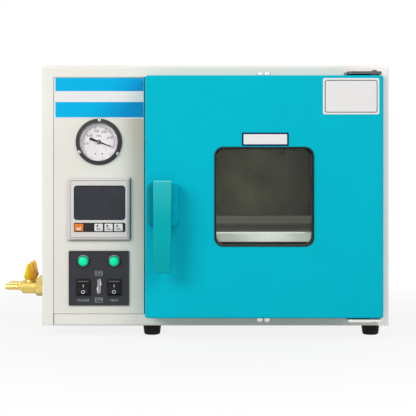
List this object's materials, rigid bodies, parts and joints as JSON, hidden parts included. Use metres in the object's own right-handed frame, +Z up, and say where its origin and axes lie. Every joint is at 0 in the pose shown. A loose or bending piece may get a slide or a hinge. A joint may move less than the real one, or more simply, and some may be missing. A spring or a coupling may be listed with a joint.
{
  "type": "vacuum drying oven",
  "caption": "Bench vacuum drying oven: boxed cabinet, hinged thick door with a square window and turning lever, side control panel, and side hose valves.",
  "frame": {"origin": "on the bench under the middle of the whole outline, valves and lever included", "axes": "+X to the user's right, -Y towards the user, +Z up"},
  "size_m": [0.6044, 0.454, 0.4085],
  "materials": {
    "ivory_paint": "satin",
    "teal_paint": "gloss",
    "lever_paint": "satin",
    "zinc_sheet": "zinc plated",
    "stainless": "brushed",
    "bright_steel": "polished",
    "brass": "machined",
    "silicone": "matte",
    "black_rubber": "matte",
    "heater_mat": "matte",
    "mineral_wool": "fibrous",
    "clear_glass": "clear",
    "gauge_black": "gloss",
    "dial_white": "matte",
    "needle_black": "matte",
    "controller_white": "fine grain",
    "controller_black": "fine grain",
    "screen": "gloss",
    "key_orange": "matte",
    "key_white": "matte",
    "plate_grey": "fine grain",
    "switch_black": "gloss",
    "lamp_green": "translucent",
    "lamp_black": "gloss",
    "handle_yellow": "gloss",
    "ball_brass": "polished"
  },
  "bodies": {
    "cabinet": {"cabinet_wrap": "ivory_paint", "base_pan": "ivory_paint", "rear_panel": "ivory_paint", "front_frame": "ivory_paint", "control_panel": "ivory_paint", "partition": "zinc_sheet", "chamber": "stainless", "chamber_gasket": "silicone", "heater_pads": "heater_mat", "insulation": "mineral_wool", "temperature_probe": "stainless", "shelf_rails": "stainless", "shelf": "stainless", "hinge_plates": "bright_steel", "hinge_pins": "bright_steel", "keeper_plate": "zinc_sheet", "feet": "black_rubber", "gauge_case": "gauge_black", "gauge_dial": "dial_white", "gauge_glass": "clear_glass", "controller_case": "controller_black", "controller_bezel": "controller_white", "controller_lens": "screen", "switch_plate": "plate_grey", "lamp_bezels": "lamp_black", "lamp_lenses": "lamp_green", "rocker_housings": "switch_black", "vacuum_line": "brass", "gas_line": "brass", "valve_bodies": "brass", "hose_barbs": "brass", "valve_locknuts": "brass", "mains_gland": "switch_black", "fuse_holder": "switch_black"},
    "door": {"door_shell": "teal_paint", "door_plate": "ivory_paint", "glass_holder": "stainless", "inner_glass": "clear_glass", "outer_glass": "clear_glass", "window_trim": "black_rubber", "window_tunnel": "stainless", "door_insulation": "mineral_wool", "door_bolts": "bright_steel", "door_bushings": "brass", "hinge_blocks": "zinc_sheet", "latch_block": "teal_paint"},
    "latch": {"latch_lever": "lever_paint", "latch_spindle": "bright_steel"},
    "pump_valve": {"pump_valve_ball": "ball_brass", "pump_valve_handle": "handle_yellow"},
    "inlet_valve": {"inlet_valve_ball": "ball_brass", "inlet_valve_handle": "handle_yellow"},
    "power_rocker": {"power_rocker": "switch_black"},
    "heater_rocker": {"heater_rocker": "switch_black"},
    "set_key": {"set_key": "key_orange"},
    "shift_key": {"shift_key": "key_white"},
    "down_key": {"down_key": "key_white"},
    "up_key": {"up_key": "key_white"},
    "needle": {"gauge_needle": "needle_black"}
  },
  "joints": [
    {"name": "door_hinge", "type": "hinge", "parent": "cabinet", "child": "door", "pos_m": [0.27565, -0.1795, 0.2125], "axis": [0, 0, 1], "range_deg": [0, 110]},
    {"name": "latch_turn", "type": "hinge", "parent": "door", "child": "latch", "pos_m": [-0.03675, -0.1915, 0.2013], "axis": [0, -1, 0], "range_deg": [0, 90]},
    {"name": "pump_valve_turn", "type": "hinge", "parent": "cabinet", "child": "pump_valve", "pos_m": [-0.26275, 0.0135, 0.0565], "axis": [0, 0, 1], "range_deg": [0, 90]},
    {"name": "inlet_valve_turn", "type": "hinge", "parent": "cabinet", "child": "inlet_valve", "pos_m": [-0.26275, 0.0495, 0.0565], "axis": [0, 0, 1], "range_deg": [0, 90]},
    {"name": "power_rocker_tilt", "type": "hinge", "parent": "cabinet", "child": "power_rocker", "pos_m": [-0.15845, -0.1481, 0.0743], "axis": [1, 0, 0], "range_deg": [0, 16]},
    {"name": "heater_rocker_tilt", "type": "hinge", "parent": "cabinet", "child": "heater_rocker", "pos_m": [-0.11205, -0.1481, 0.0743], "axis": [1, 0, 0], "range_deg": [0, 16]},
    {"name": "set_key_press", "type": "slide", "parent": "cabinet", "child": "set_key", "axis": [0, 1, 0], "range_m": [0, 0.001], "stiffness_N_per_m": 600},
    {"name": "shift_key_press", "type": "slide", "parent": "cabinet", "child": "shift_key", "axis": [0, 1, 0], "range_m": [0, 0.001], "stiffness_N_per_m": 600},
    {"name": "down_key_press", "type": "slide", "parent": "cabinet", "child": "down_key", "axis": [0, 1, 0], "range_m": [0, 0.001], "stiffness_N_per_m": 600},
    {"name": "up_key_press", "type": "slide", "parent": "cabinet", "child": "up_key", "axis": [0, 1, 0], "range_m": [0, 0.001], "stiffness_N_per_m": 600},
    {"name": "needle_turn", "type": "hinge", "parent": "cabinet", "child": "needle", "pos_m": [-0.13525, -0.1465, 0.2935], "axis": [0, -1, 0], "range_deg": [0, 210], "stiffness_Nm_per_rad": 0.0002}
  ]
}
